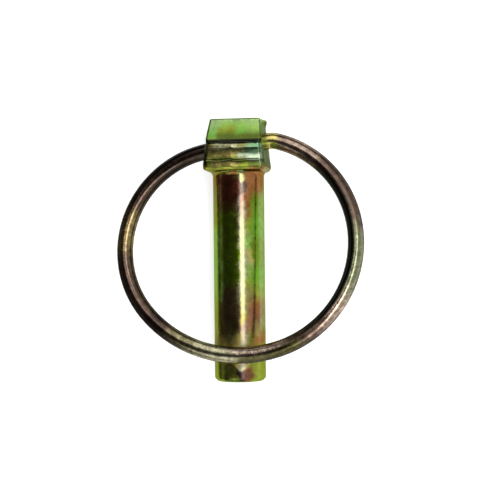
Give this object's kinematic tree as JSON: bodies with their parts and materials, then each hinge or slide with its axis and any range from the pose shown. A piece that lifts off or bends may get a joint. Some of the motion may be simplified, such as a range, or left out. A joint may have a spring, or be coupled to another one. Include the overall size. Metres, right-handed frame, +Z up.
{
  "type": "lynch pin",
  "caption": "Lynch pin: a forged pin with a wedge-shaped head and a sprung wire ring that swings in the head's cross bore and snaps shut over the shank.",
  "frame": {"origin": "on the shank's axis, where its straight wall starts below the head's neck", "axes": "+Y along the shank towards the head, +X to the right and +Z up when the pin lies on its back with the head's slope, its nose and the shut ring on top"},
  "size_m": [0.0539, 0.0565, 0.016],
  "materials": {
    "pin_plating": "forged steel, zinc plated with an iridescent yellow chromate",
    "ring_plating": "spring wire, zinc plated with a darker yellow chromate"
  },
  "bodies": {
    "pin": {"pin": "pin_plating"},
    "ring": {"spring_ring": "ring_plating"}
  },
  "joints": [
    {"name": "ring_hinge", "type": "hinge", "parent": "pin", "child": "ring", "pos_m": [0, 0.00665, 0], "axis": [-0.9898, -0.1426, 0], "range_deg": [0, 180], "stiffness_Nm_per_rad": 0.02, "springref_deg": -114.59}
  ]
}
